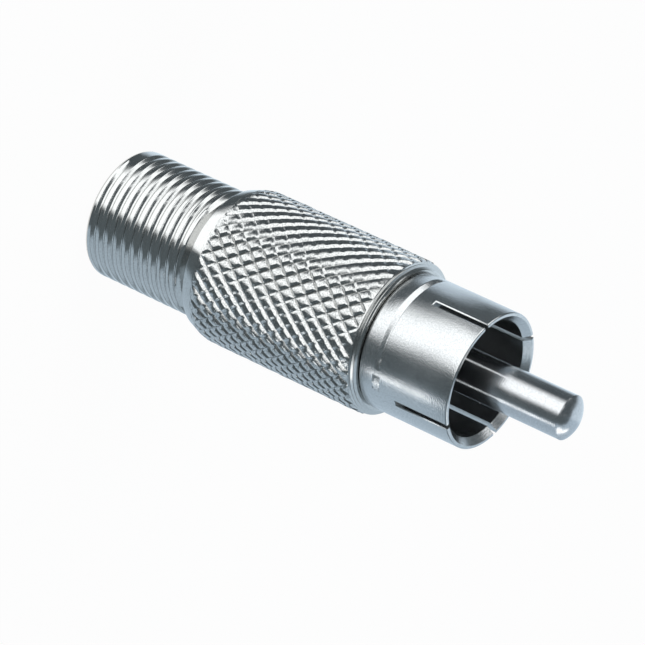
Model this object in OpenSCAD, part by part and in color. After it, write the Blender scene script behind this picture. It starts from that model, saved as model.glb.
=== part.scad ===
// Coaxial adapter: a threaded F socket at the bottom, a push-on RCA plug at the top.
// Everything is turned about the Z axis, and the part stands on the face of the F socket.

/* [Threaded end] */
// Major diameter of the threaded barrel
thread_d = 9.4; // [9:0.05:10]
// Length of the thread, from the end face to the run-out groove
thread_len = 8.3; // [6:0.1:12]
// Spacing of the thread, 32 turns to the inch
thread_pitch = 0.794; // [0.7:0.001:1]
// Depth of the thread
thread_depth = 0.22; // [0.15:0.01:0.35]
// Width of the flat crest of the thread
thread_crest = 0.35; // [0.2:0.01:0.4]
// Width of the flat root of the thread
thread_root = 0.08; // [0.04:0.01:0.15]
// Rounding of the lead at the start of the thread
lead_round = 0.4; // [0.2:0.05:0.6]
// Diameter of the run-out groove behind the thread
relief_d = 8.5; // [8:0.1:8.8]
// Width of the run-out groove
relief_w = 1; // [0.8:0.1:2]
// Bore of the lip that keeps the rear insulator in
lip_d = 6; // [5:0.1:6.2]
// Thickness of that lip
lip_len = 0.6; // [0.4:0.1:1]
// Bore of the chamber behind the lip
chamber_d = 6.8; // [6.5:0.1:7.2]

/* [Grip] */
// Diameter of the flat shoulder that an F nut stops against
shoulder_d = 10.4; // [10:0.1:10.8]
// Length of the smooth tapered collar between shoulder and knurl
collar_len = 1.05; // [0.5:0.05:2]
// How far the smooth collars lie below the crests of the knurl
collar_drop = 0.12; // [0.05:0.01:0.15]
// Diameter over the crests of the knurl
knurl_d = 11.3; // [11:0.1:13]
// Depth of the knurl grooves
knurl_depth = 0.2; // [0.16:0.01:0.3]
// Length of the knurled band
knurl_len = 13.5; // [8:0.5:20]
// Number of grooves of each hand around the band
knurl_starts = 32; // [26:1:40]
// Spacing of the grooves of one hand along the axis
knurl_pitch = 1.35; // [1.1:0.05:1.8]
// Width of one groove, across its flanks
groove_w = 0.4; // [0.3:0.02:0.6]
// Length of the front bevel
nose_len = 0.4; // [0.2:0.05:0.8]
// Diameter of the front face
nose_d = 10.1; // [9.9:0.1:10.6]

/* [RCA sleeve] */
// Outer diameter of the ground sleeve
sleeve_d = 9.8; // [9.5:0.1:10.2]
// Wall of the ground sleeve
sleeve_wall = 0.7; // [0.6:0.05:0.8]
// Length of the sleeve in front of the body
sleeve_len = 7.4; // [6.5:0.1:9]
// Thickness of the sleeve's floor
sleeve_floor = 0.7; // [0.5:0.1:1]
// Diameter of the stem pressed into the body
stem_d = 8.2; // [7.8:0.1:8.6]
// Length of that stem
stem_len = 5.6; // [3:0.1:8]
// Number of saw cuts right across the sleeve, each of which leaves two slots that let it spring
saw_cuts = 2; // [1:1:3]
// Angle from one saw cut to the next, in degrees
saw_turn = 94.5; // [60:0.5:120]
// Width of a saw slot
slot_w = 0.35; // [0.2:0.05:0.6]
// Length of a saw slot, from the rim
slot_len = 4.3; // [2:0.1:4.6]
// Lead-in bevel inside the rim
lead_in = 0.45; // [0.2:0.05:0.5]
// Rounding of the rim's outer edge
rim_round = 0.12; // [0.05:0.01:0.2]
// Rounding of the sleeve's edge next to the body
root_round = 0.25; // [0.1:0.05:0.5]
// Height of the crimp groove above the foot of the sleeve
crimp_z = 1.5; // [1.1:0.1:2]
// Width of the crimp groove, at the surface
crimp_w = 0.52; // [0.3:0.02:0.7]
// Width of the crimp groove, at its bottom
crimp_root = 0.06; // [0.04:0.02:0.2]
// Depth of the crimp groove
crimp_depth = 0.2; // [0.1:0.02:0.3]
// Length of each of the two crimp arcs, in degrees
crimp_arc = 107; // [60:1:120]
// Direction of the middle of the first arc, in degrees from a slot
crimp_turn = 16; // [0:0.5:90]
// Width of the punch mark past the end of each arc
punch_w = 0.6; // [0.4:0.05:0.8]
// Depth of that mark
punch_depth = 0.2; // [0.1:0.02:0.3]
// Length of that mark, in degrees
punch_arc = 15; // [8:1:20]
// Gap between the arc and that mark, in degrees
punch_gap = 6; // [3:1:10]

/* [Centre pin] */
// Diameter of the centre pin
pin_d = 3.2; // [3.1:0.05:3.3]
// Reach of the pin's straight part beyond the rim of the sleeve
pin_reach = 6.4; // [5:0.1:8]
// Height of the domed tip
dome_h = 0.6; // [0.3:0.05:1.2]
// Diameter of the root that is pressed into the front insulator
root_d = 2.6; // [2.4:0.05:3]
// Length of that root
root_len = 5; // [2:0.1:6]
// Diameter of the tail
tail_d = 2; // [1.6:0.1:2.3]
// Length of the tail that stands out of the front insulator
tail_len = 3.36; // [3.1:0.02:4.5]

/* [Insulators] */
// Thickness of the front insulator's head, inside the sleeve
head_len = 2.1; // [1.5:0.1:2.3]
// Recess of the rear insulator's face
face_recess = 0.25; // [0.1:0.05:0.4]
// Contact hole for the centre wire of the plug
contact_hole_d = 1.5; // [1.2:0.1:2]
// Mouth of the funnel that guides the wire
funnel_d = 3.6; // [2.4:0.1:4.4]
// Depth of the funnel
funnel_len = 0.95; // [0.5:0.05:1.2]
// Thickness of the wall with the funnel and the hole
face_wall = 3.2; // [2.6:0.1:3.6]
// Bore of the cavity that houses the clip
cavity_d = 4; // [3.6:0.1:4.6]

/* [Contact clip] */
// Thickness of the spring strip
strip_t = 0.25; // [0.15:0.05:0.3]
// Width of a spring leaf
leaf_w = 1.4; // [1:0.1:1.8]
// Length of the collar on the tail of the pin
clip_collar_len = 2.4; // [1.5:0.1:3]
// Free gap between the leaves where they pinch the wire
pinch_gap = 0.5; // [0.2:0.05:0.7]
// Length of a leaf from the collar to the pinch
leaf_len = 4.6; // [3:0.1:4.8]
// Length of the flared mouth beyond the pinch
flare_len = 1.1; // [0.6:0.1:1.2]
// How far each leaf opens at its mouth
flare_out = 0.6; // [0.3:0.05:0.7]
// Room between that mouth and the wall with the hole
mouth_gap = 0.56; // [0.3:0.02:1]

/* [Fits] */
// Clearance between pieces that are pressed or seated together
fit = 0.02; // [0.01:0.01:0.05]

/* [Hidden] */
$fn = 96;
// Overlap that lets one cut pass clean through a face
cut = 1;

// Heights along the axis, from the end face of the thread upward
shoulder_z = thread_len + relief_w;
knurl_z = shoulder_z + collar_len;
knurl_top_z = knurl_z + knurl_len;
front_z = knurl_top_z + nose_len;
foot_z = front_z + fit;
floor_z = foot_z + sleeve_floor;
rim_z = front_z + sleeve_len;
stem_z = foot_z - stem_len;
head_z = floor_z + fit;
head_top_z = head_z + head_len;
dome_z = rim_z + pin_reach;
pin_seat_z = head_top_z + fit;
root_z = pin_seat_z - root_len;
bush_shoulder_z = lip_len + fit;
// The rear insulator is as long as the clip that it houses
cavity_z = face_recess + face_wall;
tail_z = cavity_z + mouth_gap + flare_len + leaf_len;
bush_top_z = tail_z + tail_len - fit;

// Bore of the sleeve, which takes the ring of an RCA socket
sleeve_bore = sleeve_d - 2 * sleeve_wall;

// Ring grooves that stand for the turns of the thread, with a plain land left at both ends
thread_groove_w = thread_pitch - thread_crest;
thread_grooves = floor((thread_len - lead_round) / thread_pitch);

// Radii of the knurl: the ring of diamonds stands on a plain core a little below its grooves
crest_r = knurl_d / 2;
groove_r = crest_r - knurl_depth;
collar_r = crest_r - collar_drop;
knurl_bury = 0.06;
core_r = groove_r - knurl_bury;
knurl_inner_r = core_r - 5 * knurl_bury;

// Lattice of the knurl: rows of groove crossings, half a pitch apart and staggered by half a step
knurl_rows = 2 * round(knurl_len / knurl_pitch);
row_h = knurl_len / knurl_rows;
step = 360 / knurl_starts;
half_step_w = PI * knurl_d / knurl_starts / 2;
groove_spacing = 2 * row_h * half_step_w / sqrt(row_h * row_h + half_step_w * half_step_w);
// Share of a diamond that its flat top takes up
flat = 1 - groove_w / groove_spacing;
// The half diamonds at both ends start with a short slope of this share
end_slope = 0.25;

function polar(r, a, z) = [r * cos(a), r * sin(a), z];
function crossing(row, i) = polar(groove_r, (i + (row % 2) / 2) * step, knurl_z + row * row_h);
// Corner of a flat top: dx and dz are shares of the half step and of the row height
function crest(row, i, dx, dz) =
    polar(crest_r, (i + (row % 2) / 2 + dx / 2) * step, knurl_z + (row + dz) * row_h);

// Each diamond has its own four flat corners: right, upper, left, lower
function diamond_top(row, i) =
    [crest(row, i, flat, 0), crest(row, i, 0, flat), crest(row, i, -flat, 0), crest(row, i, 0, -flat)];
// A half diamond on an end row has three: two on the slope and one towards the middle of the band
function half_top(row, i, way) = [
    crest(row, i, flat * (1 - end_slope), way * flat * end_slope),
    crest(row, i, 0, way * flat),
    crest(row, i, -flat * (1 - end_slope), way * flat * end_slope)
];

// Four-sided flank as two triangles
function flank(a, b, c, d) = [[a, b, c], [a, c, d]];
function flip(faces) = [for (f = faces) [for (k = [len(f) - 1 : -1 : 0]) f[k]]];

// Ring of raised diamonds between crossing helical grooves
module knurl_ring() {
    n = knurl_starts;
    inner_first = (knurl_rows + 1) * n;
    tops_first = inner_first + 2 * n;
    lower_first = tops_first + 4 * n * (knurl_rows - 1);
    upper_first = lower_first + 3 * n;
    points = concat(
        [for (row = [0 : knurl_rows]) for (i = [0 : n - 1]) crossing(row, i)],
        [for (z = [knurl_z, knurl_top_z]) for (i = [0 : n - 1]) polar(knurl_inner_r, i * step, z)],
        [for (row = [1 : knurl_rows - 1]) for (i = [0 : n - 1]) each diamond_top(row, i + 0.5)],
        [for (i = [0 : n - 1]) each half_top(0, i + 0.5, 1)],
        [for (i = [0 : n - 1]) each half_top(knurl_rows, i + 0.5, -1)]
    );
    // Number of the crossing that lies dx half steps to the side of a diamond's centre
    function at(row, i) = row * n + (i + n) % n;
    function side(row, i) = row % 2 == 0 ? i : i + 1;
    diamonds = [
        for (row = [1 : knurl_rows - 1]) for (i = [0 : n - 1])
            let (
                t = tops_first + 4 * ((row - 1) * n + i),
                left = at(row, i),
                right = at(row, i + 1),
                upper = at(row + 1, side(row, i)),
                lower = at(row - 1, side(row, i))
            )
            each concat(
                flank(t, t + 1, t + 2, t + 3),
                flank(right, upper, t + 1, t),
                flank(upper, left, t + 2, t + 1),
                flank(left, lower, t + 3, t + 2),
                flank(lower, right, t, t + 3)
            )
    ];
    lower_halves = [
        for (i = [0 : n - 1])
            let (t = lower_first + 3 * i, left = at(0, i), right = at(0, i + 1), upper = at(1, i))
            each concat(
                [[t, t + 1, t + 2]],
                flank(right, upper, t + 1, t),
                flank(upper, left, t + 2, t + 1),
                flank(left, right, t, t + 2)
            )
    ];
    upper_halves = [
        for (i = [0 : n - 1])
            let (
                t = upper_first + 3 * i,
                left = at(knurl_rows, i),
                right = at(knurl_rows, i + 1),
                lower = at(knurl_rows - 1, i)
            )
            each concat(
                [[t, t + 2, t + 1]],
                flank(lower, right, t, t + 1),
                flank(left, lower, t + 1, t + 2),
                flank(right, left, t + 2, t)
            )
    ];
    ends = [
        for (i = [0 : n - 1])
            let (j = (i + 1) % n, low = inner_first, high = inner_first + n)
            each concat(
                flank(at(0, i), low + i, low + j, at(0, j)),
                flank(at(knurl_rows, j), high + j, high + i, at(knurl_rows, i)),
                flank(low + i, high + i, high + j, low + j)
            )
    ];
    polyhedron(points, flip(concat(diamonds, lower_halves, upper_halves, ends)));
}

// Section of one thread groove about its middle height, from crest to crest
function thread_groove(z) = [
    [thread_d / 2, z - thread_groove_w / 2],
    [thread_d / 2 - thread_depth, z - thread_root / 2],
    [thread_d / 2 - thread_depth, z + thread_root / 2],
    [thread_d / 2, z + thread_groove_w / 2]
];

// Half section of the body: barrel, run-out groove, shoulder, collars and bores
module body_section() {
    runout = (thread_d - relief_d) / 2;
    grooves = [
        for (k = [1 : thread_grooves]) each thread_groove(lead_round + (k - 0.5) * thread_pitch)
    ];
    polygon(concat([
        [lip_d / 2, 0],
        [thread_d / 2 - lead_round, 0],
        [thread_d / 2, lead_round]
    ], grooves, [
        [thread_d / 2, thread_len],
        [relief_d / 2, thread_len + runout],
        [relief_d / 2, shoulder_z],
        [shoulder_d / 2, shoulder_z],
        [collar_r, knurl_z + knurl_bury],
        [core_r, knurl_z + knurl_bury],
        [core_r, knurl_top_z - knurl_bury],
        [collar_r, knurl_top_z - knurl_bury],
        [nose_d / 2, front_z],
        [stem_d / 2 + fit, front_z],
        [stem_d / 2 + fit, stem_z - fit],
        [chamber_d / 2, stem_z - fit],
        [chamber_d / 2, lip_len],
        [lip_d / 2, lip_len]
    ]));
    translate([thread_d / 2 - lead_round, lead_round]) circle(lead_round);
}

module body() {
    color("silver") union() {
        rotate_extrude() body_section();
        knurl_ring();
    }
}

// Half section of the sleeve: stem, floor, wall and lead-in bevel, with two rounded edges
module sleeve_section() {
    r = sleeve_d / 2;
    polygon([
        [chamber_d / 2, stem_z],
        [stem_d / 2, stem_z],
        [stem_d / 2, foot_z],
        [r - root_round, foot_z],
        [r, foot_z + root_round],
        [r, rim_z - rim_round],
        [r - rim_round, rim_z],
        [sleeve_bore / 2 + lead_in, rim_z],
        [sleeve_bore / 2, rim_z - lead_in],
        [sleeve_bore / 2, floor_z],
        [chamber_d / 2, floor_z]
    ]);
    translate([r - root_round, foot_z + root_round]) circle(root_round);
    translate([r - rim_round, rim_z - rim_round]) circle(rim_round);
}

// One arc of the crimp groove that grips the front insulator, with its punch mark
module crimp() {
    slope = (crimp_w - crimp_root) / crimp_depth / 2;
    mouth = crimp_w / 2 + cut * slope;
    rotate(crimp_turn - crimp_arc / 2)
        rotate_extrude(angle = crimp_arc)
        translate([sleeve_d / 2, foot_z + crimp_z])
        polygon([
            [-crimp_depth, -crimp_root / 2],
            [cut, -mouth],
            [cut, mouth],
            [-crimp_depth, crimp_root / 2]
        ]);
    rotate(crimp_turn + crimp_arc / 2 + punch_gap)
        rotate_extrude(angle = punch_arc)
        translate([sleeve_d / 2 - punch_depth, foot_z + crimp_z - punch_w / 2])
        square([punch_depth + cut, punch_w]);
}

module rca_sleeve() {
    color("gainsboro") difference() {
        rotate_extrude() sleeve_section();
        for (i = [0 : saw_cuts - 1])
            rotate(i * saw_turn)
            translate([-sleeve_d, -slot_w / 2, rim_z - slot_len])
            cube([2 * sleeve_d, slot_w, slot_len + cut]);
        for (turn = [0, 180]) rotate(turn) crimp();
    }
}

module centre_pin() {
    pin_r = pin_d / 2;
    dome_r = (pin_r * pin_r + dome_h * dome_h) / (2 * dome_h);
    color("lightgray") rotate_extrude() {
        translate([0, pin_seat_z]) square([pin_r, dome_z - pin_seat_z]);
        translate([0, root_z]) square([root_d / 2, root_len]);
        translate([0, tail_z]) square([tail_d / 2, root_z - tail_z]);
        intersection() {
            translate([0, dome_z + dome_h - dome_r]) circle(dome_r);
            translate([0, dome_z]) square([pin_r, dome_h]);
        }
    }
}

// Black bush: a head inside the sleeve and a stem down through the sleeve into the chamber
module front_insulator() {
    root_hole_r = root_d / 2 + fit;
    tail_hole_r = tail_d / 2 + fit;
    color("dimgray") rotate_extrude() polygon([
        [tail_hole_r, bush_top_z + fit],
        [chamber_d / 2 - fit, bush_top_z + fit],
        [chamber_d / 2 - fit, head_z],
        [sleeve_bore / 2 - fit, head_z],
        [sleeve_bore / 2 - fit, head_top_z],
        [root_hole_r, head_top_z],
        [root_hole_r, root_z - fit],
        [tail_hole_r, root_z - fit]
    ]);
}

// White bush in the barrel: funnel and contact hole at its face, cavity for the clip behind
module rear_insulator() {
    hole_r = contact_hole_d / 2;
    color("ivory") rotate_extrude() polygon([
        [funnel_d / 2, face_recess],
        [lip_d / 2 - fit, face_recess],
        [lip_d / 2 - fit, bush_shoulder_z],
        [chamber_d / 2 - fit, bush_shoulder_z],
        [chamber_d / 2 - fit, bush_top_z],
        [cavity_d / 2, bush_top_z],
        [cavity_d / 2, cavity_z],
        [hole_r, cavity_z],
        [hole_r, face_recess + funnel_len],
    ]);
}

// Spring leaf seen from the side: from the collar in to the pinch, then out to the mouth
module leaf_section() {
    collar_in = tail_d / 2 + fit;
    pinch_in = pinch_gap / 2;
    mouth_in = pinch_in + flare_out;
    polygon([
        [collar_in, 0],
        [pinch_in, -leaf_len],
        [mouth_in, -leaf_len - flare_len],
        [mouth_in + strip_t, -leaf_len - flare_len],
        [pinch_in + strip_t, -leaf_len],
        [collar_in + strip_t, 0]
    ]);
}

// Bronze clip: a collar pressed on the tail of the pin, with two leaves that pinch the wire
module contact_clip() {
    collar_r_in = tail_d / 2 + fit;
    color("peru") translate([0, 0, tail_z]) union() {
        difference() {
            cylinder(r = collar_r_in + strip_t, h = clip_collar_len);
            translate([0, 0, -cut]) cylinder(r = collar_r_in, h = clip_collar_len + 2 * cut);
        }
        for (turn = [0, 180])
            rotate(turn)
            translate([0, leaf_w / 2, 0])
            rotate([90, 0, 0])
            linear_extrude(leaf_w)
            leaf_section();
    }
}

body();
rca_sleeve();
centre_pin();
front_insulator();
rear_insulator();
contact_clip();
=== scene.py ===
# %% [markdown]
# # A nickel-plated coaxial adapter
# The real part is turned from brass: a threaded F socket at one end, a knurled grip in the middle and a
# push-on RCA plug at the other end. It stands on the face of its F socket, and everything is round about
# the Z axis. The solids come from CAD. Blender adds what the eye reads as machined metal: the helix of
# the thread, the crisp knurl, broken edges, and a bright nickel skin.

# %% Load the frame and keep its box
import math
import random
import bpy
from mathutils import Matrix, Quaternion, Vector


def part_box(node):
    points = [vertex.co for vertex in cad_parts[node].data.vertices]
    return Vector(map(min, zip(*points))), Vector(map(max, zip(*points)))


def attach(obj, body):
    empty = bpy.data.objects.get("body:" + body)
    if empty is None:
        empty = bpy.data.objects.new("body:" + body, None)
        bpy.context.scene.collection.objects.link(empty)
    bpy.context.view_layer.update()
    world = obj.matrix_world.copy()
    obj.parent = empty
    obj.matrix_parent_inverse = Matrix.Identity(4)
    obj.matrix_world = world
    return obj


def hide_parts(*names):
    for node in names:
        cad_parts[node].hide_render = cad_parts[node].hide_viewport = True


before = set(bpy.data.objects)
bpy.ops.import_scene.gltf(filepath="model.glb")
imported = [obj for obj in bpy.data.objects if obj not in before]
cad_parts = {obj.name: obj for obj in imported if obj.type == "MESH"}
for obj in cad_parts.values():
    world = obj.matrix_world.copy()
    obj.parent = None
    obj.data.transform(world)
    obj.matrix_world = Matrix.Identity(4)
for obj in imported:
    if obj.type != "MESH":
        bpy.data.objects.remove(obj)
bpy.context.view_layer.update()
print("nodes:", sorted(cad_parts))

# %% [markdown]
# ## Sizes
# Blender counts in metres, but a part like this is drawn in millimetres. Everything below is in
# millimetres, and one factor turns it to metres when a mesh is made. The outer sizes are read from the
# boxes of the CAD nodes, so the dressed part can't drift away from them.

# %% Read the main sizes from the frame
MM = 0.001


def box_mm(node):
    """Lowest and highest corner of a CAD node, in millimetres."""
    low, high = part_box(node)
    return low / MM, high / MM


body_high = box_mm("body")[1]
sleeve_low, sleeve_high = box_mm("rca_sleeve")
pin_low, pin_high = box_mm("centre_pin")
head_top_z = box_mm("front_insulator")[1].z
crest_r, front_z = body_high.x, body_high.z
sleeve_r, stem_z, rim_z = sleeve_high.x, sleeve_low.z, sleeve_high.z
pin_r, tail_z, tip_z = pin_high.x, pin_low.z, pin_high.z
print(f"knurl {2 * crest_r:.2f} mm, sleeve {2 * sleeve_r:.2f} mm, pin {2 * pin_r:.2f} mm")

# %% [markdown]
# ## Turning a profile
# A lathe makes every surface of this part, so the main helper works like one. It takes a list of points
# (radius, height), adds a ring of points for each and joins neighbouring rings with four-sided faces.
# Blender's Spin or Screw tool could do it, but with our own point numbers the turned rings can share their
# points with the thread and the knurl, and the body becomes one closed skin.

# %% Helpers that collect points and faces
RING = 192


def angle_of(index):
    """Direction of a point on a ring, in radians."""
    return math.tau * index / RING


def add_point(points, radius, angle, height):
    """Adds one point in cylinder coordinates and returns its number."""
    points.append((radius * math.cos(angle) * MM, radius * math.sin(angle) * MM, height * MM))
    return len(points) - 1


def add_ring(points, radius, height):
    """Adds a full ring and returns the numbers of its points."""
    return [add_point(points, radius, angle_of(i), height) for i in range(RING)]


def join_rings(faces, first, second):
    """Joins two rings with quads that face away from the metal."""
    for i in range(RING):
        j = (i + 1) % RING
        faces.append((first[i], first[j], second[j], second[i]))


def turn_profile(points, faces, profile, first=None):
    """Turns a list of (radius, height) and returns the last ring."""
    ring = first
    for radius, height in profile:
        next_ring = add_ring(points, radius, height)
        if ring:
            join_rings(faces, ring, next_ring)
        ring = next_ring
    return ring


def arc(centre_r, centre_z, radius, start, end, steps):
    """Points of a rounded edge, from one angle to another in degrees, as (radius, height)."""
    turns = [math.radians(start + (end - start) * k / steps) for k in range(steps + 1)]
    return [(centre_r + radius * math.cos(t), centre_z + radius * math.sin(t)) for t in turns]


# %% [markdown]
# ## From points to an object
# Machined metal has flat faces that meet at crisp edges, and round faces that flow. Blender shades both
# right if the whole mesh is smooth and the edges above a chosen angle are marked sharp.

# %% Helper that makes the object
def make_object(name, points, faces, sharp_angle):
    """Makes a smooth-shaded mesh object with sharp edges above an angle in degrees."""
    mesh = bpy.data.meshes.new(name)
    mesh.from_pydata(points, [], faces)
    mesh.validate()
    mesh.shade_smooth()
    mesh.set_sharp_from_angle(angle=math.radians(sharp_angle))
    made = bpy.data.objects.new(name, mesh)
    bpy.context.scene.collection.objects.link(made)
    triangles = sum(len(face.vertices) - 2 for face in mesh.polygons)
    print(f"{name}: {len(mesh.vertices)} points, {triangles} triangles")
    return made


# %% [markdown]
# ## The threaded barrel
# The F thread is 3/8 inch with 32 turns to the inch, so its pitch is 25.4 / 32 mm. On the real part the
# crests are broad and the grooves narrow, and the first groove fades in below a smooth rounded lead. A
# boolean cut with a helical cutter would leave thousands of sliver faces. Here the mesh itself follows the
# helix: each column of points climbs one pitch per turn, and the last column of one turn is the first
# column of the next. Points that would pass the ends are held on the two end rings.

# %% Build the thread
thread_r = 4.7
lead_r = 0.4
thread_end_z = 8.3
relief_r = 4.25
relief_z = thread_end_z + thread_r - relief_r
pitch = 25.4 / 32
groove_depth = 0.22
first_groove_z = 0.59
# The groove starts at this ring point and reaches its depth after this share of a turn
first_groove_index = -11
fade_turns = 0.12
# One turn across the groove: (share of the pitch, share of the depth), from crest to crest
groove_shape = [
    (0.00, 0.00), (0.15, 0.01), (0.19, 0.04), (0.22, 0.14), (0.38, 0.90), (0.41, 0.97), (0.44, 1.00),
    (0.53, 1.00), (0.56, 0.97), (0.59, 0.90), (0.80, 0.14), (0.83, 0.04), (0.87, 0.01),
]


def smooth_step(value):
    """Soft ramp from 0 to 1."""
    held = min(max(value, 0), 1)
    return held * held * (3 - 2 * held)


def thread_point(points, first, last, index, column):
    """Number of the thread's point at a ring position and a column along the helix."""
    turn, part = divmod(column, len(groove_shape))
    share, depth = groove_shape[part]
    turns_cut = turn - 1 + index / RING
    height = first_groove_z + pitch * (turns_cut + share - 0.5)
    ring_index = (index + first_groove_index) % RING
    if height <= lead_r:
        return first[ring_index]
    if height >= relief_z:
        return last[ring_index]
    cut = groove_depth * depth * smooth_step(turns_cut / fade_turns)
    radius = min(thread_r - cut, relief_r + relief_z - height)
    return add_point(points, radius, angle_of(ring_index), height)


def build_thread(points, faces, first, last):
    """Fills the barrel between its two end rings with a helical skin."""
    per_turn = len(groove_shape)
    columns = per_turn * (int(relief_z / pitch) + 2)
    grid = [
        [thread_point(points, first, last, index, column) for column in range(columns + per_turn + 1)]
        for index in range(RING)
    ]
    for index in range(RING):
        for column in range(columns):
            if index + 1 < RING:
                low, high = grid[index + 1][column], grid[index + 1][column + 1]
            else:
                low, high = grid[0][column + per_turn], grid[0][column + per_turn + 1]
            corners = (grid[index][column], low, high, grid[index][column + 1])
            face = tuple(dict.fromkeys(corners))
            if len(face) > 2:
                faces.append(face)


# %% [markdown]
# ## The knurl
# A knurling tool presses two sets of helical grooves that cross and leave small diamonds standing. In the
# photo each set shines as long bands on its own part of the grip. The light alone may do that, or wheels
# that press unevenly, and one photo can't tell which. Here it is drawn as uneven pressing: a guess, with
# the depths and places chosen until the bands matched. Each diamond is a small grid with lines
# along the grooves: the groove bottoms, the two sides of each rounded shoulder, and the flat top between.
# A displaced cylinder would need a million faces for the same edge. Small seeded differences in height
# keep the reflections alive.

# %% Knurl sizes
knurl_z = 10.35
knurl_top_z = 23.85
knurl_starts = 32
knurl_rows = 20
deep = 0.2
collar_drop = 0.12
collar_r = crest_r - collar_drop
run_out = 0.05
# Share of a row over which the grooves fade at the ends of the grip
end_fade = 0.4
row_h = (knurl_top_z - knurl_z) / knurl_rows
half_step = math.pi / knurl_starts
# Shares of the way from the middle of a diamond to its grooves: the shoulders, and half their rounding
falling_share = 0.57
rising_share = 0.58
edge_share = 0.02
# Where each set is shallow: the middle and half the width in degrees round the grip, and the depth there
falling_lift = (68, 22, 0.085)
rising_lift = (-11, 33, 0.065)
lift_ramp = 18
# The tops differ in height by up to this much
worn_height = 0.02
uneven = random.Random(7)
# Points that agree to one part in this many of a step are one point
finest = 10000


def grid_lines(share):
    """Lines of a diamond's grid across one set of grooves, from groove to groove."""
    lines = [-1, -share - edge_share, edge_share - share]
    return lines + [-line for line in reversed(lines)]


def pressed_depth(angle, lift):
    """Depth of one set of grooves at an angle round the grip."""
    middle, half_width, shallow = lift
    away = abs((math.degrees(angle) - middle + 180) % 360 - 180)
    return deep - (deep - shallow) * smooth_step(0.5 + (half_width - away) / lift_ramp)


def groove_share(line, share):
    """Share of a groove's depth at a line of the grid."""
    return 0 if abs(line) < share else (abs(line) - share) / (1 - share)


# %% [markdown]
# Neighbouring diamonds share the points on their groove bottoms, so each point is kept under its place and
# taken from there the second time. Of two grooves the deeper one counts, so their flanks meet in an edge
# that runs from the top of a diamond to its corner, and the corner faces are split along it. In the rows
# at both ends the grooves run out to the plain collar, and the outer half of each diamond is folded flat
# against it.

# %% Build the knurl
def fill_diamond(faces, grid):
    """Joins a diamond's grid with faces, and splits the corner ones along the edge between flanks."""
    ends = (0, len(grid) - 2)
    for i, (line, after) in enumerate(zip(grid, grid[1:])):
        for j in range(len(line) - 1):
            a, b, c, d = line[j], after[j], after[j + 1], line[j + 1]
            if i not in ends or j not in ends:
                faces.append((a, b, c, d))
            elif (i == 0) == (j == 0):
                faces.extend([(a, b, c), (a, c, d)])
            else:
                faces.extend([(a, b, d), (b, c, d)])


def build_diamond(points, faces, made, row, place, end):
    """Builds one diamond. End is -1 in the lowest row, 1 in the highest and 0 between them."""
    worn = uneven.uniform(0, worn_height)
    grid = []
    for falling in grid_lines(falling_share):
        line = []
        for rising in grid_lines(rising_share):
            across, along = (falling - rising) / 2, (falling + rising) / 2
            first, second = groove_share(falling, falling_share), groove_share(rising, rising_share)
            step = place + row % 2 / 2 + across / 2
            angle = 2 * half_step * step
            cut = max(pressed_depth(angle, falling_lift) * first, pressed_depth(angle, rising_lift) * second)
            radius = crest_r - cut - worn * (1 - max(first, second))
            height = knurl_z + (row + along) * row_h
            if end:
                radius = collar_r + (radius - collar_r) * min(max(-end * along / end_fade, 0), 1)
                height = knurl_z + row * row_h + along * (run_out if end * along > 0 else row_h)
            key = (round(step * finest) % (knurl_starts * finest), round((row + along) * finest))
            if key not in made:
                made[key] = add_point(points, radius, angle, height)
            line.append(made[key])
        grid.append(line)
    fill_diamond(faces, grid)
    return grid


def build_knurl(points, faces, first, last):
    """Fills the grip between its two end rings with diamonds."""
    per_step = RING // knurl_starts
    made = {}
    for row in range(knurl_rows + 1):
        end = (row == knurl_rows) - (row == 0)
        for i in range(knurl_starts):
            grid = build_diamond(points, faces, made, row, i + 0.5, end)
            if end:
                ring = first if end < 0 else last
                edge = [ring[(i * per_step + k) % RING] for k in range(per_step + 1)]
                rising_side = [line[0 if end < 0 else -1] for line in grid]
                falling_side = grid[0 if end < 0 else -1]
                if end < 0:
                    faces.append(tuple(edge + rising_side[::-1] + falling_side[1:]))
                else:
                    faces.append(tuple(edge[::-1] + rising_side + falling_side[::-1][1:]))


# %% [markdown]
# ## The body as one skin
# The profile starts at the bore of the F face, runs out over the lead and up the outside, and comes back
# down through the bores, so the faces point outward all the way. The edges that a finger would feel are
# broken by small arcs, because a dead sharp edge never catches the light.

# %% Build the body
shoulder_r = 5.2
shoulder_z = 9.3
nose_r = 5.05
lip_r = 3.0
lip_z = 0.6
chamber_r = 3.4
stem_r = 4.1
fit = 0.02
edge_break = 0.06
# A low bead and a neck end the knurl
bead_r = 5.38
bead_z = 23.97
bead_land = 0.04
neck_r = 5.21
neck_z = 24.08
neck_land = 0.05


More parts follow.
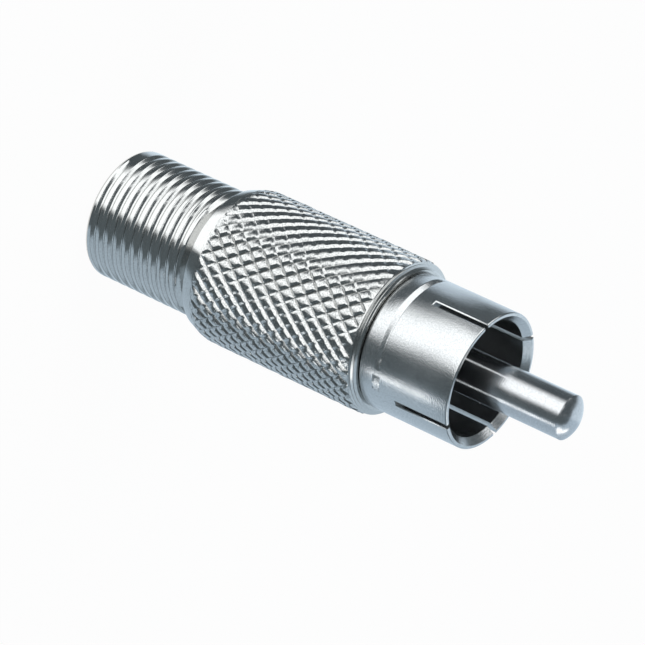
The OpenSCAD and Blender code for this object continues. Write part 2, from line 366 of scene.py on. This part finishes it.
def build_body():
    """Makes the knurled and threaded body and returns its object."""
    points, faces = [], []
    lead = [(lip_r, 0)] + arc(thread_r - lead_r, lead_r, lead_r, -90, 0, 6)
    thread_start = turn_profile(points, faces, lead)
    lip_ring = list(range(RING))
    thread_stop = add_ring(points, relief_r, relief_z)
    build_thread(points, faces, thread_start, thread_stop)
    shoulder = arc(shoulder_r - edge_break, shoulder_z + edge_break, edge_break, -90, 0, 3)
    collar = [(relief_r, shoulder_z)] + shoulder + [(collar_r, knurl_z - 2 * run_out)]
    knurl_start = turn_profile(points, faces, collar, thread_stop)
    knurl_stop = add_ring(points, collar_r, knurl_top_z + 2 * run_out)
    build_knurl(points, faces, knurl_start, knurl_stop)
    seat_r = stem_r + fit
    nose = [(bead_r, bead_z), (bead_r, bead_z + bead_land)]
    nose += [(neck_r, neck_z), (neck_r, neck_z + neck_land)]
    nose += [(nose_r + edge_break, front_z - edge_break), (nose_r, front_z), (seat_r, front_z)]
    bores = [(seat_r, stem_z - fit), (chamber_r, stem_z - fit), (chamber_r, lip_z), (lip_r, lip_z)]
    inner = turn_profile(points, faces, nose + bores, knurl_stop)
    join_rings(faces, inner, lip_ring)
    return make_object("knurled_body", points, faces, sharp_angle=38)


body = build_body()
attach(body, "root")
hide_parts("body")

# %% [markdown]
# ## The slotted ground sleeve
# The sleeve is a thin cup with four saw slots, so that it can spring over the ring of a socket, and two
# arcs of a groove where it is crimped on the insulator. A boolean would do, but the lathe grid can hold
# both: the groove is a ring of points pushed inward over a range of angles, and a slot is a column of
# faces left out, with two flat cheeks and a floor put in.

# %% Sleeve sizes
sleeve_wall = 0.7
foot_z = front_z + fit
cup_floor = 0.7
cup_floor_z = foot_z + cup_floor
bore_r = sleeve_r - sleeve_wall
rim_round = 0.12
root_round = 0.25
lead_in = 0.45
slot_w = 0.35
slot_break = 0.05
slot_len = 4.3
slot_root_z = rim_z - slot_len
saw_turn = math.radians(94.5)
slots = sorted(cut + half for cut in (0, saw_turn) for half in (0, math.pi))
crimp_rise = 1.5
crimp_z = foot_z + crimp_rise
# Rows of the grid to each side of the crimp's middle, and the step between them
crimp_rows = 7
crimp_step = 0.05
# The groove and the punch mark past its end: angles in degrees, the rest in millimetres
crimp_marks = [
    {"middle": 16, "half_arc": 53.5, "run_out": 9, "half_width": 0.24,
     "wall": 0.32, "lip": 0.1, "depth": 0.2, "ramp": 0},
    {"middle": 83, "half_arc": 7.5, "run_out": 1, "half_width": 0.3,
     "wall": 0.05, "lip": 0.05, "depth": 0.2, "ramp": 1},
]


# %% Columns of the sleeve's grid
def sleeve_columns():
    """Columns around the sleeve as (direction, slot, side). A plain column has a side of 0."""
    columns = [(angle_of(index), 0, 0) for index in range(RING)]
    clear = math.asin(slot_w / chamber_r)
    half_slot = math.asin(slot_w / 2 / bore_r)
    for slot in slots:
        columns = [c for c in columns if abs(math.remainder(c[0] - slot, math.tau)) > clear]
    for slot in slots:
        columns += [(slot + side * half_slot, slot, side) for side in (-1, 1)]
        columns += [(slot + side * (half_slot + slot_break / sleeve_r), 0, 0) for side in (-1, 1)]
    for mark in crimp_marks:
        for way in (-1, 1):
            for inset in (0, mark["run_out"]):
                end = mark["middle"] + way * (mark["half_arc"] - inset)
                columns += [(math.radians(end + half_turn) % math.tau, 0, 0) for half_turn in (0, 180)]
    return sorted(columns)


def sleeve_angle(column, radius):
    """Direction of a column at a radius: the cheeks of a saw slot are parallel, not radial."""
    direction, slot, side = column
    return slot + side * math.asin(slot_w / 2 / radius) if side else direction


def crimp_depth(direction, height):
    """Depth of the crimp at a place on the outer wall."""
    deepest = 0
    for mark in crimp_marks:
        along = math.remainder(math.degrees(direction) - mark["middle"], 180)
        end = min(max((mark["half_arc"] - abs(along)) / mark["run_out"], 0), 1)
        below, above = mark["half_width"] + height - crimp_z, mark["half_width"] + crimp_z - height
        side = min(max(min(below / mark["wall"], above / mark["lip"]), 0), 1)
        ramp = 1 - mark["ramp"] * (along / mark["half_arc"] + 1) / 2
        deepest = max(deepest, mark["depth"] * end * side * ramp)
    return deepest


# %% [markdown]
# The rows of the grid follow the section of the cup: up the stem, round the foot, up the outer wall with
# its crimp groove, over the rim, and down the bore.

# %% Rows of the sleeve's grid
def sleeve_rows():
    """Rows of the sleeve as (radius, height)."""
    foot = [(chamber_r, stem_z), (stem_r, stem_z), (stem_r, foot_z)]
    foot += arc(sleeve_r - root_round, foot_z + root_round, root_round, -90, 0, 5)
    steps = range(-crimp_rows, crimp_rows + 1)
    crimp = [(sleeve_r, crimp_z + step * crimp_step) for step in steps]
    rim = [(sleeve_r, slot_root_z - slot_break), (sleeve_r, slot_root_z)]
    rim += arc(sleeve_r - rim_round, rim_z - rim_round, rim_round, 0, 90, 4)
    rim += [(bore_r + lead_in, rim_z), (bore_r, rim_z - lead_in), (bore_r, slot_root_z)]
    floor = [(bore_r, cup_floor_z), (chamber_r, cup_floor_z)]
    return foot + crimp + rim + floor


def build_sleeve():
    """Makes the slotted sleeve and returns its object."""
    points, faces = [], []
    columns, rows = sleeve_columns(), sleeve_rows()
    grid = []
    for radius, height in rows:
        line = []
        for column in columns:
            depth = crimp_depth(column[0], height) if radius == sleeve_r else 0
            if column[2] and radius == sleeve_r and height >= slot_root_z:
                depth = slot_break
            line.append(add_point(points, radius - depth, sleeve_angle(column, radius), height))
        grid.append(line)
    roots = [k for k, row in enumerate(rows) if row[1] == slot_root_z]
    slot_start, slot_stop = roots
    sides = [column[2] for column in columns]
    open_column = False
    for j, side in enumerate(sides):
        after = (j + 1) % len(columns)
        open_column = side < 0 or open_column and side < 1
        for k in range(len(rows)):
            k_next = (k + 1) % len(rows)
            if not (open_column and slot_start <= k < slot_stop):
                faces.append((grid[k][j], grid[k][after], grid[k_next][after], grid[k_next][j]))
        if open_column:
            outer, inner = grid[slot_start], grid[slot_stop]
            faces.append((outer[j], outer[after], inner[after], inner[j]))
        if side:
            cheek = [grid[k][j] for k in range(slot_start, slot_stop + 1)]
            faces.append(tuple(cheek if side > 0 else reversed(cheek)))
    return make_object("slotted_sleeve", points, faces, sharp_angle=30)


sleeve = build_sleeve()
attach(sleeve, "root")
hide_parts("rca_sleeve")

# %% [markdown]
# ## The centre pin
# The pin is turned from rod: a straight shank, a low dome at its tip with a tiny land round it, and a
# thinner root and tail inside the plastic. The lathe helper needs one thing more here, a cap that closes a
# ring at a single point on the axis.

# %% Build the pin
root_r = 1.3
root_len = 5
tail_r = 1.0
dome_h = 0.6
tip_land = 0.05
# The dome's rings stop a little before the axis, where the cap closes it
dome_top = 88
dome_steps = 14
pin_seat_z = head_top_z + fit


def cap_ring(points, faces, ring, height, facing_up):
    """Closes a ring with a fan of triangles to a point on the axis."""
    middle = add_point(points, 0, 0, height)
    for i in range(RING):
        j = (i + 1) % RING
        faces.append((ring[i], ring[j], middle) if facing_up else (ring[j], ring[i], middle))


def build_pin():
    """Makes the centre pin and returns its object."""
    points, faces = [], []
    dome_r = (pin_r ** 2 + dome_h ** 2) / (2 * dome_h)
    dome_centre = tip_z - dome_r
    rim_angle = math.degrees(math.acos((pin_r - tip_land) / dome_r))
    dome = arc(0, dome_centre, dome_r, rim_angle, dome_top, dome_steps)
    shank = [(tail_r, tail_z), (tail_r, pin_seat_z - root_len), (root_r, pin_seat_z - root_len)]
    shank += [(root_r, pin_seat_z), (pin_r, pin_seat_z), (pin_r, dome[0][1] - tip_land)]
    last = turn_profile(points, faces, shank + dome)
    cap_ring(points, faces, list(range(RING)), tail_z, False)
    cap_ring(points, faces, last, tip_z, True)
    return make_object("turned_pin", points, faces, sharp_angle=30)


def break_edges(piece, width, angle):
    """Adds a bevel that breaks the edges above an angle in degrees, by a width in millimetres."""
    bevel = piece.modifiers.new("broken_edges", "BEVEL")
    bevel.width = width * MM
    bevel.segments = 2
    bevel.limit_method = "ANGLE"
    bevel.angle_limit = math.radians(angle)
    bevel.harden_normals = True


pin = build_pin()
break_edges(pin, width=0.03, angle=50)
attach(pin, "root")
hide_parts("centre_pin")

# %% [markdown]
# ## Materials
# A colour picked on a screen is an sRGB hex value, and Blender's shaders work in linear light, so one
# function turns the one into the other. One more function adds a node, sets its values and links its
# inputs, so that each material below reads as a list of what it is made of.

# %% Helpers for colours and nodes
def linear(code):
    """Linear RGBA of an sRGB hex colour."""
    shares = [int(code[k:k + 2], 16) / 255 for k in (1, 3, 5)]
    return [s / 12.92 if s <= 0.04045 else ((s + 0.055) / 1.055) ** 2.4 for s in shares] + [1]


def add_node(tree, kind, settings=None, links=None):
    """Adds a node. Settings name its inputs or its properties, and links name the inputs that are fed."""
    made = tree.nodes.new(kind)
    for key, value in (settings or {}).items():
        if key in made.inputs:
            made.inputs[key].default_value = value
        else:
            setattr(made, key, value)
    for key, source in (links or {}).items():
        tree.links.new(source, made.inputs[key])
    return made


def new_material(name):
    """Makes an empty node material and returns it with its tree and the coordinates of its object."""
    material = bpy.data.materials.new(name)
    material.use_nodes = True
    material.node_tree.nodes.clear()
    place = add_node(material.node_tree, "ShaderNodeTexCoord").outputs["Object"]
    return material, material.node_tree, place


def finish_material(tree, shader):
    """Links a shader to the material's output."""
    add_node(tree, "ShaderNodeOutputMaterial", links={"Surface": shader.outputs[0]})


def per_size(size):
    """Scale of a noise whose features are about this size in millimetres."""
    return 1 / (size * MM)


# %% [markdown]
# ## Nickel plate
# The body, the sleeve and the pin are brass under a few microns of nickel. Nickel is a little warmer and
# darker than chrome, and it takes on the colours round it. What tells the pieces apart is how they were
# made, so one function makes all the finishes. A turning tool leaves rings about 0.05 mm apart. That is
# less than a pixel here, so the rings are drawn 0.16 mm apart. Plating softens them into a faint grain.
# Both go into the bump. A haze of some millimetres varies the polish, and fine specks vary the colour a
# little, because plate over a worked skin is never quite even.

# %% Make the nickel finishes
def bright_nickel(name, color, shade, roughness, ring_height, grain_size, grain_height):
    """Plated nickel over turned brass. Heights are in thousandths of a millimetre."""
    material, tree, place = new_material(name)
    ring_spacing = 0.16
    haze_size = 2.5
    speck_size = 0.1
    wave_turns = math.tau / 20
    rings = add_node(tree, "ShaderNodeTexWave", {
        "bands_direction": "Z", "Scale": wave_turns * per_size(ring_spacing),
        "Distortion": 1.5, "Detail": 2, "Detail Scale": 0.6,
    }, {"Vector": place})
    grain = add_node(tree, "ShaderNodeTexNoise", {
        "Scale": per_size(grain_size), "Detail": 3, "Roughness": 0.6,
    }, {"Vector": place})
    haze = add_node(tree, "ShaderNodeTexNoise", {
        "Scale": per_size(haze_size), "Detail": 4,
    }, {"Vector": place})
    polish = add_node(tree, "ShaderNodeMapRange", {
        "From Min": 0.3, "From Max": 0.7, "To Min": roughness * 0.8, "To Max": roughness * 1.25,
    }, {"Value": haze.outputs["Fac"]})
    specks = add_node(tree, "ShaderNodeTexNoise", {
        "Scale": per_size(speck_size), "Detail": 1,
    }, {"Vector": place})
    plate = add_node(tree, "ShaderNodeValToRGB", links={"Fac": specks.outputs["Fac"]})
    for stop, position, tone in zip(plate.color_ramp.elements, (0.35, 0.6), (shade, color)):
        stop.position = position
        stop.color = linear(tone)
    ring_bump = add_node(tree, "ShaderNodeBump", {"Distance": ring_height * MM / 1000, "Strength": 1}, {
        "Height": rings.outputs["Fac"],
    })
    bump = add_node(tree, "ShaderNodeBump", {"Distance": grain_height * MM / 1000, "Strength": 1}, {
        "Height": grain.outputs["Fac"], "Normal": ring_bump.outputs["Normal"],
    })
    metal = add_node(tree, "ShaderNodeBsdfPrincipled", {"Metallic": 1}, {
        "Base Color": plate.outputs["Color"], "Roughness": polish.outputs["Result"],
        "Normal": bump.outputs["Normal"],
    })
    finish_material(tree, metal)
    return material


# Thread, collar and bores: bright and smooth, as the lathe leaves them
body_nickel = bright_nickel("bright_nickel_on_brass", "#ccccca", "#c2c2c0", 0.14, 1.0, 0.2, 4)
# Under the knurling tool the metal is torn a little: rough, so that no two diamonds shine alike
knurl_nickel = bright_nickel("pressed_nickel_on_brass", "#ccccca", "#aeafae", 0.16, 0, 0.16, 12)
# Drawn cup: satin, a soft grain that widens the highlight
sleeve_nickel = bright_nickel("satin_nickel_on_brass", "#cecfcf", "#c0c2c2", 0.22, 0.8, 0.12, 8)
# Turned rod: smooth, with a clean long highlight
pin_nickel = bright_nickel("polished_nickel_on_brass", "#cccdce", "#c0c1c2", 0.2, 0.8, 0.12, 2)
for piece, material in ((body, body_nickel), (sleeve, sleeve_nickel), (pin, pin_nickel)):
    piece.data.materials.append(material)
body.data.materials.append(knurl_nickel)
pressed = [face for face in body.data.polygons if knurl_z < face.center.z / MM < knurl_top_z
           and face.center.xy.length / MM > collar_r - 2 * deep]
for face in pressed:
    face.material_index = 1
print(len(pressed), "faces under the knurling tool")

# %% [markdown]
# ## Plastics and bronze
# The front insulator is a black moulded bush at the bottom of the cup. The rear insulator is natural
# acetal, a waxy off-white plastic that lets a little light in. Behind it sits the spring clip, bent from
# phosphor bronze strip. Their CAD shapes have all that shows, so the nodes stay and only get their finish.

# %% Make the plastics and the bronze
def moulded_plastic(name, color, shade, roughness, through):
    """Moulded plastic with a fine satin grain and faint clouds in its colour."""
    material, tree, place = new_material(name)
    clouds = add_node(tree, "ShaderNodeTexNoise", {"Scale": per_size(1.5), "Detail": 3}, {"Vector": place})
    tint = add_node(tree, "ShaderNodeMix", {"data_type": "RGBA"}, {"Factor": clouds.outputs["Fac"]})
    # Sockets 6 and 7 of a Mix node hold its two colours, and output 2 the mixed one
    tint.inputs[6].default_value = linear(color)
    tint.inputs[7].default_value = linear(shade)
    grain = add_node(tree, "ShaderNodeTexNoise", {"Scale": per_size(0.15), "Detail": 2}, {"Vector": place})
    bump = add_node(tree, "ShaderNodeBump", {"Distance": 4 * MM / 1000}, {"Height": grain.outputs["Fac"]})
    plastic = add_node(tree, "ShaderNodeBsdfPrincipled", {
        "Roughness": roughness, "IOR": 1.48, "Subsurface Weight": through, "Subsurface Scale": 0.5 * MM,
    }, {"Base Color": tint.outputs[2], "Normal": bump.outputs["Normal"]})
    finish_material(tree, plastic)
    return material


def dress(node, material):
    """Gives a CAD node a material in place of its own."""
    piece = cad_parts[node]
    piece.data.materials.clear()
    piece.data.materials.append(material)


dress("front_insulator", moulded_plastic("black_moulded_abs", "#17181a", "#1e1f22", 0.5, 0))
dress("rear_insulator", moulded_plastic("natural_acetal", "#ece9df", "#e4e0d3", 0.4, 0.2))
dress("contact_clip", bright_nickel("phosphor_bronze_strip", "#c08a55", "#b27c4a", 0.3, 0.6, 0.2, 2))

# %% [markdown]
# ## The studio
# The part stands on a plain white floor. The floor is white to the camera and in reflections through the
# Light Path node, and a share of it stays a lit surface, so it keeps the soft shadow of the part.

# %% Floor
# In metres
floor_reach = 1.5
floor_gap = 0.00002
# Share of the floor that shows as plain white
glow_share = 0.95
floor_mesh = bpy.data.meshes.new("floor")
corners = [(-1, -1), (1, -1), (1, 1), (-1, 1)]
spots = [(x * floor_reach, y * floor_reach, -floor_gap) for x, y in corners]
floor_mesh.from_pydata(spots, [], [(0, 1, 2, 3)])
floor = bpy.data.objects.new("floor", floor_mesh)
bpy.context.scene.collection.objects.link(floor)

paper, tree, place = new_material("white_paper")
path = add_node(tree, "ShaderNodeLightPath")
seen = add_node(tree, "ShaderNodeMath", {"operation": "MAXIMUM"})
tree.links.new(path.outputs["Is Camera Ray"], seen.inputs[0])
tree.links.new(path.outputs["Is Glossy Ray"], seen.inputs[1])
seen_all = add_node(tree, "ShaderNodeMath", {"operation": "MAXIMUM"})
tree.links.new(seen.outputs[0], seen_all.inputs[0])
tree.links.new(path.outputs["Is Transmission Ray"], seen_all.inputs[1])
share = add_node(tree, "ShaderNodeMath", {"operation": "MULTIPLY"})
tree.links.new(seen_all.outputs[0], share.inputs[0])
share.inputs[1].default_value = glow_share
lit = add_node(tree, "ShaderNodeBsdfDiffuse", {"Color": linear("#f8f8f8")})
glow = add_node(tree, "ShaderNodeEmission", {"Color": linear("#ffffff"), "Strength": 1.0})
mix = add_node(tree, "ShaderNodeMixShader", links={"Fac": share.outputs[0]})
tree.links.new(lit.outputs[0], mix.inputs[1])
tree.links.new(glow.outputs[0], mix.inputs[2])
finish_material(tree, mix)
floor_mesh.materials.append(paper)

# %% [markdown]
# ## Cards round the part
# Polished metal has no look of its own: it shows what stands round it. A photographer lays white cards and
# dark cloth round such a part until its round faces read as round. Seen from above, the walls of the part
# mirror the floor, so the cards lie there like a fan about the axis. Near the foot they are what the thread
# shows, further out the knurl, then the sleeve and the pin, so the fan has its own edges at each reach.
# Edges and colours were moved until the camera's side looked like the photo. All of this shows
# only in reflections, and casts no light or shadow of its own.

# %% Edges and colours of the cards
camera_azimuth = 39.5
# Colours round the fan, anticlockwise from above: grey paper, dark cloth, white card, dark cloth, grey paper
card_colors = (
    "#b6c3cd", "#b0bdc8", "#464c4f", "#40464a", "#f8fbfd",
    "#f8fbfd", "#454b4e", "#4a5256", "#8f9da8", "#9aa8b4",
)
# Stronger than paper, because this nickel gives back only about six tenths
card_strength = 1.87
# Directions of these colours at a reach in millimetres, in degrees from the camera's side
thread_edges = (-180, -144, -128, -84, -64, 4, 14, 48, 58, 180)
knurl_edges = (-180, -146, -130, -46, -28, 0, 20, 84, 104, 180)
sleeve_edges = (-180, -116, -98, -62, -38, -2, 22, 62, 72, 180)
pin_edges = (-180, -150, -124, -76, -50, -8, 14, 52, 66, 180)
# Past the cards the cloth goes on. Then comes a long white screen with grey walls at its sides
cloth_edges = (-180, -150, -136, -62, -42, 4, 20, 122, 140, 180)
step_edges = (-180, -150, -136, -108, -98, 4, 20, 122, 140, 180)
screen_edges = (-180, -150, -136, -108, -98, 8, 20, 60, 72, 180)
screen_top_edges = (-180, -150, -136, -108, -98, -16, -2, 60, 72, 180)
upper_edges = (-180, -150, -136, -62, -60, -58, -56, 70, 80, 180)
# Overhead all is dark cloth, and the white card has no width
roof_edges = (-180, -179.9, -179.8, -0.04, -0.03, -0.02, -0.01, 179.8, 179.9, 180)
fan_height = 0.03
fan_rings = []
for reaches, edges in (
    ((4.75, 5.5, 7, 10, 14, 19), thread_edges), ((22, 41), knurl_edges), ((45, 59), sleeve_edges),
    ((62, 90), pin_edges), ((140, 598), cloth_edges),
):
    fan_rings += [(reach, fan_height, edges) for reach in reaches]
tent_r = 600
tent_rings = (
    ((4, 14), step_edges), ((20, 26), screen_edges), ((32, 42), screen_top_edges),
    ((48, 58), upper_edges), ((68, 88), roof_edges),
)
for heights, edges in tent_rings:
    for height in heights:
        rise = math.radians(height)
        fan_rings.append((tent_r * math.cos(rise), tent_r * math.sin(rise), edges))


# %% [markdown]
# A round wall doesn't mirror from the axis but from its own face, which turns the direction a little. One
# function undoes that, and another turns the direction into a place among the colours.

# %% Lay the fan of cards
mirror_r = 5
mirror_rounds = 20


def mirror_direction(degrees, reach):
    """Direction in degrees that a round wall mirrors at a point of the floor."""
    turned = degrees
    for again in range(mirror_rounds):
        lean = min(mirror_r / reach, 1) * math.sin(math.radians(turned / 2))
        turned = degrees + math.degrees(math.asin(lean))
    return min(max(turned, -180), 180)


def card_place(direction, edges):
    """Place of a direction among the colours, from 0 to 1."""
    for k, (low, high) in enumerate(zip(edges, edges[1:])):
        if direction <= high:
            return (k + (direction - low) / (high - low)) / (len(edges) - 1)


def show_in_reflections(piece):
    """Leaves a staged piece to reflections alone and turns it to the camera."""
    piece.rotation_euler.z = math.radians(camera_azimuth)
    piece.visible_camera = False
    piece.visible_diffuse = False
    piece.visible_shadow = False
    piece.visible_transmission = False


points, faces = [], []
turn_profile(points, faces, [ring[:2] for ring in fan_rings])
fan = make_object("card_fan", points, faces, 60)
chart = fan.data.uv_layers.new(name="direction")
for face in fan.data.polygons:
    middle = math.degrees(math.atan2(face.center.y, face.center.x))
    for corner in face.loop_indices:
        number = fan.data.loops[corner].vertex_index
        spot = fan.data.vertices[number].co / MM
        away = math.remainder(math.degrees(math.atan2(spot.y, spot.x)) - middle, 360)
        direction = mirror_direction(middle + away, spot.length)
        chart.data[corner].uv = (card_place(direction, fan_rings[number // RING][2]), 0)
show_in_reflections(fan)

card_stock, tree, place = new_material("paper_and_cloth")
chart_at = add_node(tree, "ShaderNodeUVMap", {"uv_map": "direction"})
along = add_node(tree, "ShaderNodeSeparateXYZ", links={"Vector": chart_at.outputs["UV"]})
levels = add_node(tree, "ShaderNodeValToRGB", links={"Fac": along.outputs["X"]})
stops = levels.color_ramp.elements
while len(stops) < len(card_colors):
    stops.new(0.5)
for k, color in enumerate(card_colors):
    stops[k].position = k / (len(card_colors) - 1)
    stops[k].color = linear(color)
glow_color = {"Color": levels.outputs["Color"]}
card_glow = add_node(tree, "ShaderNodeEmission", {"Strength": card_strength}, glow_color)
finish_material(tree, card_glow)
fan.data.materials.append(card_stock)

# %% [markdown]
# Two strips of plain white paper are left. A narrow one on the floor draws the thin bright line along the
# sleeve and the pin. A small one hung near the tip lights one side of its dome.

# %% Lay one strip and hang the other
strip_height = 2 * fan_height
floor_strip = [(reach, turn, strip_height) for reach, turn in (
    (43, 65.5), (58, 65), (62, 60.5), (75, 60.5), (75, 73), (62, 73), (58, 70.5), (43, 70.5),
)]
tip_strip = []
tip_reach = 30
for turn, rise in ((96, 44), (116, 32), (150, 30), (158, 36), (130, 46), (104, 54)):
    reach, height = tip_reach * math.cos(math.radians(rise)), tip_reach * math.sin(math.radians(rise))
    tip_strip.append((reach, turn, tip_z + height))
for name, corners, strength in (("floor_strip", floor_strip, 2.6), ("tip_strip", tip_strip, 2.1)):
    points = []
    face = tuple(add_point(points, reach, math.radians(turn), height) for reach, turn, height in corners)
    sheet = make_object(name, points, [face], 60)
    paper_white, tree, place = new_material(name)
    glow = add_node(tree, "ShaderNodeEmission", {"Color": linear("#f8fbfd"), "Strength": strength})
    finish_material(tree, glow)
    sheet.data.materials.append(paper_white)
    show_in_reflections(sheet)

# %% [markdown]
# ## Light and camera
# A large soft box stands high on one side and a smaller one on the other. Both are kept out of
# reflections, where the cards do the work. The world adds an even grey. The camera's place and lens come
# from a fit to the outlines in the photo: about 0.3 m away, with a long lens. It looks down at the part
# and is rolled, so that the axis runs across the picture from the upper left to the lower right.

# %% Soft boxes and world
lamp_reach = 420
aim = Vector((0, 0, 20))


def soft_box(name, azimuth, elevation, width, height, power):
    """Adds an area lamp that faces the middle of the part, by its direction from the camera's side."""
    reach, up = math.cos(math.radians(elevation)), math.sin(math.radians(elevation))
    turn = math.radians(camera_azimuth + azimuth)
    place = Vector((reach * math.cos(turn), reach * math.sin(turn), up)) * lamp_reach + aim
    lamp = bpy.data.lights.new(name, "AREA")
    lamp.shape = "RECTANGLE"
    lamp.size = width * MM
    lamp.size_y = height * MM
    lamp.energy = power
    made = bpy.data.objects.new(name, lamp)
    made.location = place * MM
    sight = aim * MM - made.location
    made.rotation_euler = sight.to_track_quat("-Z", "Y").to_euler()
    bpy.context.scene.collection.objects.link(made)
    return made


key_box = soft_box("soft_box_key", -62, 40, 260, 260, 0.3)
side_box = soft_box("soft_box_side", 106, 45, 190, 190, 0.2)
for lamp in (key_box, side_box):
    lamp.visible_glossy = False
world = bpy.data.worlds.new("grey_studio")
world.use_nodes = True
backdrop = world.node_tree.nodes["Background"]
backdrop.inputs["Color"].default_value = linear("#eef2f6")
backdrop.inputs["Strength"].default_value = 0.6
bpy.context.scene.world = world

# %% Camera
picture_px = 645
focal_px = 4255.9
sensor_mm = 36
camera_reach = 250.05
camera_side = 1.19
camera_height = 163.03
camera_drop = math.asin(0.5016)
camera_roll = math.radians(115.04)
lens = bpy.data.cameras.new("camera")
lens.sensor_width = sensor_mm
lens.lens = focal_px * sensor_mm / picture_px
camera = bpy.data.objects.new("camera", lens)
turn = Quaternion((0, 0, 1), math.radians(camera_azimuth))
camera.location = turn @ Vector((camera_reach, camera_side, camera_height)) * MM
forward = turn @ Vector((-math.cos(camera_drop), 0, -math.sin(camera_drop)))
camera.rotation_mode = "QUATERNION"
camera.rotation_quaternion = forward.to_track_quat("-Z", "Y") @ Quaternion((0, 0, 1), camera_roll)
bpy.context.scene.collection.objects.link(camera)
bpy.context.scene.camera = camera
bpy.context.scene.view_settings.view_transform = "Standard"
print("camera at", [round(v, 4) for v in camera.location], "lens", round(lens.lens, 1))
